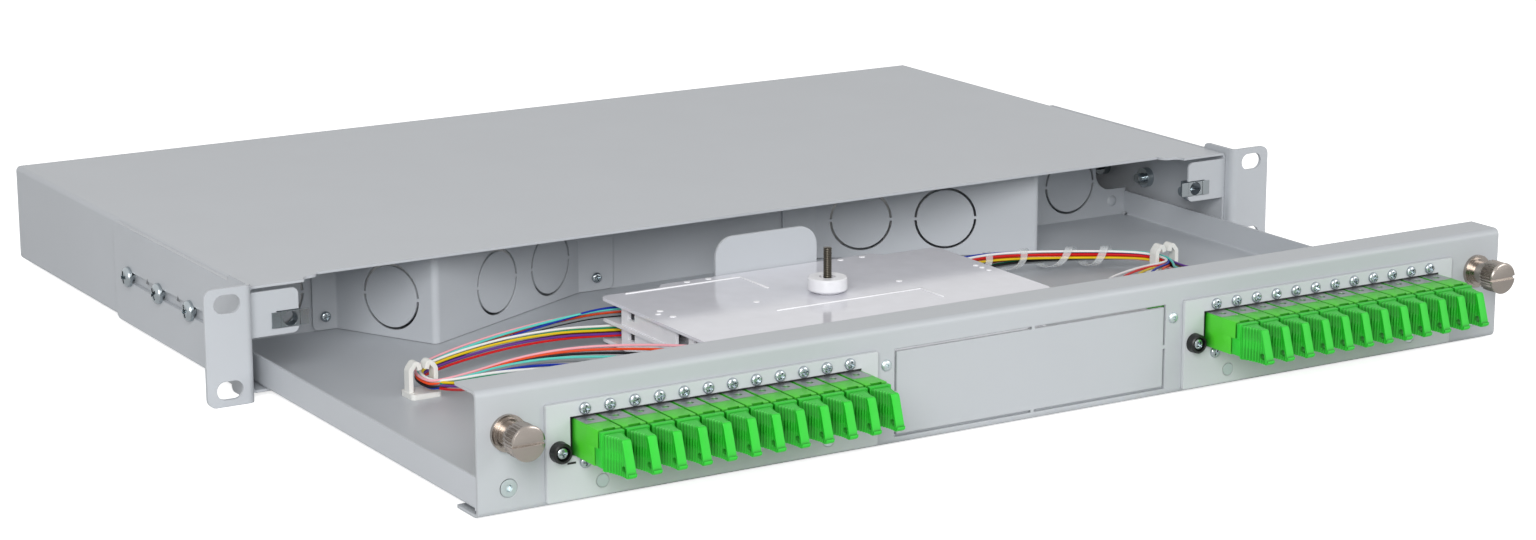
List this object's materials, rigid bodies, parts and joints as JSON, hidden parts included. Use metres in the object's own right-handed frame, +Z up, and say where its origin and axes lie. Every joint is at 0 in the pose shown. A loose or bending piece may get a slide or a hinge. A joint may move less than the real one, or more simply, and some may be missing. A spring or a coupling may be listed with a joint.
{
  "type": "rack-mount fibre splice box",
  "caption": "Flat rack-mount sheet-metal fibre splice box with a pull-out drawer, splice cassettes, rear cable entries, capped green adapters in front plates, thumbscrews and sliding rack ears.",
  "frame": {"origin": "front face of the rack ears, midway between the four rack slots", "axes": "+X right, +Y to the rear of the rack, +Z up; the drawer pulls out towards -Y"},
  "size_m": [0.4826, 0.4483, 0.0436],
  "materials": {
    "case_paint": "light grey powder coat",
    "front_sheet": "light grey powder coat, smooth",
    "zinc_steel": "zinc plated",
    "nickel": "nickel plated",
    "black_plastic": "black",
    "green_plastic": "bright green",
    "white_plastic": "white",
    "sleeve_plastic": "clear shrink sleeve",
    "fibre_jacket": "coloured fibre coatings"
  },
  "bodies": {
    "case": {"case_shell": "case_paint", "cage_nuts": "zinc_steel", "ear_screws": "zinc_steel", "ear_nuts": "zinc_steel"},
    "drawer": {"drawer_tray": "case_paint", "cable_entries": "case_paint", "cassette_bracket": "case_paint", "front_panel": "front_sheet", "adapter_plates": "front_sheet", "rear_fasteners": "zinc_steel", "panel_fasteners": "zinc_steel", "plate_studs": "zinc_steel", "plate_screws": "zinc_steel", "adapter_screws": "zinc_steel", "adapter_clips": "zinc_steel", "cassette_stud": "zinc_steel", "left_spring": "zinc_steel", "right_spring": "zinc_steel", "ferrules": "nickel", "cup_washers": "black_plastic", "adapters": "green_plastic", "connectors": "green_plastic", "lower_cassette": "white_plastic", "upper_cassette": "white_plastic", "cassette_lid": "white_plastic", "fibre_clips": "white_plastic", "splice_sleeves": "sleeve_plastic", "left_pigtails": "fibre_jacket", "right_pigtails": "fibre_jacket"},
    "left_ear": {"left_ear": "case_paint"},
    "right_ear": {"right_ear": "case_paint"},
    "left_retaining_ring": {"left_retaining_ring": "zinc_steel"},
    "right_retaining_ring": {"right_retaining_ring": "zinc_steel"},
    "left_thumbscrew": {"left_thumbscrew": "nickel"},
    "right_thumbscrew": {"right_thumbscrew": "nickel"},
    "cassette_nut": {"cassette_nut": "white_plastic"},
    "left_dust_cap_1": {"left_dust_cap_1": "green_plastic"},
    "left_dust_cap_2": {"left_dust_cap_2": "green_plastic"},
    "left_dust_cap_3": {"left_dust_cap_3": "green_plastic"},
    "left_dust_cap_4": {"left_dust_cap_4": "green_plastic"},
    "left_dust_cap_5": {"left_dust_cap_5": "green_plastic"},
    "left_dust_cap_6": {"left_dust_cap_6": "green_plastic"},
    "left_dust_cap_7": {"left_dust_cap_7": "green_plastic"},
    "left_dust_cap_8": {"left_dust_cap_8": "green_plastic"},
    "left_dust_cap_9": {"left_dust_cap_9": "green_plastic"},
    "left_dust_cap_10": {"left_dust_cap_10": "green_plastic"},
    "left_dust_cap_11": {"left_dust_cap_11": "green_plastic"},
    "left_dust_cap_12": {"left_dust_cap_12": "green_plastic"},
    "right_dust_cap_1": {"right_dust_cap_1": "green_plastic"},
    "right_dust_cap_2": {"right_dust_cap_2": "green_plastic"},
    "right_dust_cap_3": {"right_dust_cap_3": "green_plastic"},
    "right_dust_cap_4": {"right_dust_cap_4": "green_plastic"},
    "right_dust_cap_5": {"right_dust_cap_5": "green_plastic"},
    "right_dust_cap_6": {"right_dust_cap_6": "green_plastic"},
    "right_dust_cap_7": {"right_dust_cap_7": "green_plastic"},
    "right_dust_cap_8": {"right_dust_cap_8": "green_plastic"},
    "right_dust_cap_9": {"right_dust_cap_9": "green_plastic"},
    "right_dust_cap_10": {"right_dust_cap_10": "green_plastic"},
    "right_dust_cap_11": {"right_dust_cap_11": "green_plastic"},
    "right_dust_cap_12": {"right_dust_cap_12": "green_plastic"}
  },
  "joints": [
    {"name": "drawer_slide", "type": "slide", "parent": "case", "child": "drawer", "axis": [0, -1, 0], "range_m": [-0.1691, 0]},
    {"name": "left_ear_slide", "type": "slide", "parent": "case", "child": "left_ear", "axis": [0, 1, 0], "range_m": [0, 0.015]},
    {"name": "right_ear_slide", "type": "slide", "parent": "case", "child": "right_ear", "axis": [0, 1, 0], "range_m": [0, 0.015]},
    {"name": "left_thumb_press", "type": "slide", "parent": "drawer", "child": "left_retaining_ring", "axis": [0, 1, 0], "range_m": [0, 0.004], "stiffness_N_per_m": 300, "springref_m": -0.004, "deforming": ["left_spring"]},
    {"name": "right_thumb_press", "type": "slide", "parent": "drawer", "child": "right_retaining_ring", "axis": [0, 1, 0], "range_m": [0, 0.004], "stiffness_N_per_m": 300, "springref_m": -0.004, "deforming": ["right_spring"]},
    {"name": "left_thumb_turn", "type": "hinge", "parent": "left_retaining_ring", "child": "left_thumbscrew", "pos_m": [-0.2065, -0.17, 0.0062], "axis": [0, 1, 0], "continuous": true},
    {"name": "right_thumb_turn", "type": "hinge", "parent": "right_retaining_ring", "child": "right_thumbscrew", "pos_m": [0.2065, -0.17, 0.0062], "axis": [0, 1, 0], "continuous": true},
    {"name": "cassette_nut_turn", "type": "hinge", "parent": "drawer", "child": "cassette_nut", "pos_m": [-0.0089, -0.0454, 0], "axis": [0, 0, 1], "continuous": true},
    {"name": "left_dust_cap_1_pull", "type": "slide", "parent": "drawer", "child": "left_dust_cap_1", "axis": [0, -1, 0], "range_m": [0, 0.02]},
    {"name": "left_dust_cap_2_pull", "type": "slide", "parent": "drawer", "child": "left_dust_cap_2", "axis": [0, -1, 0], "range_m": [0, 0.02]},
    {"name": "left_dust_cap_3_pull", "type": "slide", "parent": "drawer", "child": "left_dust_cap_3", "axis": [0, -1, 0], "range_m": [0, 0.02]},
    {"name": "left_dust_cap_4_pull", "type": "slide", "parent": "drawer", "child": "left_dust_cap_4", "axis": [0, -1, 0], "range_m": [0, 0.02]},
    {"name": "left_dust_cap_5_pull", "type": "slide", "parent": "drawer", "child": "left_dust_cap_5", "axis": [0, -1, 0], "range_m": [0, 0.02]},
    {"name": "left_dust_cap_6_pull", "type": "slide", "parent": "drawer", "child": "left_dust_cap_6", "axis": [0, -1, 0], "range_m": [0, 0.02]},
    {"name": "left_dust_cap_7_pull", "type": "slide", "parent": "drawer", "child": "left_dust_cap_7", "axis": [0, -1, 0], "range_m": [0, 0.02]},
    {"name": "left_dust_cap_8_pull", "type": "slide", "parent": "drawer", "child": "left_dust_cap_8", "axis": [0, -1, 0], "range_m": [0, 0.02]},
    {"name": "left_dust_cap_9_pull", "type": "slide", "parent": "drawer", "child": "left_dust_cap_9", "axis": [0, -1, 0], "range_m": [0, 0.02]},
    {"name": "left_dust_cap_10_pull", "type": "slide", "parent": "drawer", "child": "left_dust_cap_10", "axis": [0, -1, 0], "range_m": [0, 0.02]},
    {"name": "left_dust_cap_11_pull", "type": "slide", "parent": "drawer", "child": "left_dust_cap_11", "axis": [0, -1, 0], "range_m": [0, 0.02]},
    {"name": "left_dust_cap_12_pull", "type": "slide", "parent": "drawer", "child": "left_dust_cap_12", "axis": [0, -1, 0], "range_m": [0, 0.02]},
    {"name": "right_dust_cap_1_pull", "type": "slide", "parent": "drawer", "child": "right_dust_cap_1", "axis": [0, -1, 0], "range_m": [0, 0.02]},
    {"name": "right_dust_cap_2_pull", "type": "slide", "parent": "drawer", "child": "right_dust_cap_2", "axis": [0, -1, 0], "range_m": [0, 0.02]},
    {"name": "right_dust_cap_3_pull", "type": "slide", "parent": "drawer", "child": "right_dust_cap_3", "axis": [0, -1, 0], "range_m": [0, 0.02]},
    {"name": "right_dust_cap_4_pull", "type": "slide", "parent": "drawer", "child": "right_dust_cap_4", "axis": [0, -1, 0], "range_m": [0, 0.02]},
    {"name": "right_dust_cap_5_pull", "type": "slide", "parent": "drawer", "child": "right_dust_cap_5", "axis": [0, -1, 0], "range_m": [0, 0.02]},
    {"name": "right_dust_cap_6_pull", "type": "slide", "parent": "drawer", "child": "right_dust_cap_6", "axis": [0, -1, 0], "range_m": [0, 0.02]},
    {"name": "right_dust_cap_7_pull", "type": "slide", "parent": "drawer", "child": "right_dust_cap_7", "axis": [0, -1, 0], "range_m": [0, 0.02]},
    {"name": "right_dust_cap_8_pull", "type": "slide", "parent": "drawer", "child": "right_dust_cap_8", "axis": [0, -1, 0], "range_m": [0, 0.02]},
    {"name": "right_dust_cap_9_pull", "type": "slide", "parent": "drawer", "child": "right_dust_cap_9", "axis": [0, -1, 0], "range_m": [0, 0.02]},
    {"name": "right_dust_cap_10_pull", "type": "slide", "parent": "drawer", "child": "right_dust_cap_10", "axis": [0, -1, 0], "range_m": [0, 0.02]},
    {"name": "right_dust_cap_11_pull", "type": "slide", "parent": "drawer", "child": "right_dust_cap_11", "axis": [0, -1, 0], "range_m": [0, 0.02]},
    {"name": "right_dust_cap_12_pull", "type": "slide", "parent": "drawer", "child": "right_dust_cap_12", "axis": [0, -1, 0], "range_m": [0, 0.02]}
  ]
}
